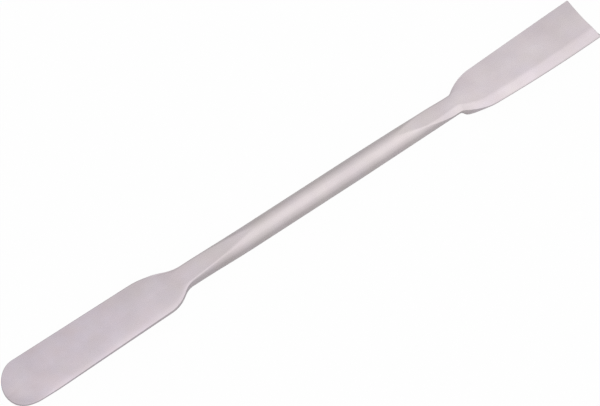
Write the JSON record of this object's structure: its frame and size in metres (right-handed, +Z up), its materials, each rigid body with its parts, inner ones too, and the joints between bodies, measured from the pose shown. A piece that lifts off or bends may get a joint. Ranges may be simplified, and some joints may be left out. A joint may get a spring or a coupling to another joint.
{
  "type": "lab spatula",
  "caption": "Double-ended steel laboratory spatula: a round handle with a round-nosed blade at one end and a square, side-ground blade at the other.",
  "frame": {"origin": "on the surface the tool lies on, straight below the handle's axis at the middle of the tool's length", "axes": "+X along the handle towards the square blade, +Y across it away from the ground side, +Z up out of the surface. The tool is stored as it comes to rest, rolled back about 19 degrees so that the far side of its blades meets the surface"},
  "size_m": [0.15, 0.0109, 0.0052],
  "materials": {
    "steel": "satin stainless steel, ground and lightly tumbled, with fine lines along its length"
  },
  "bodies": {
    "root": {"spatula": "steel"}
  },
  "joints": []
}
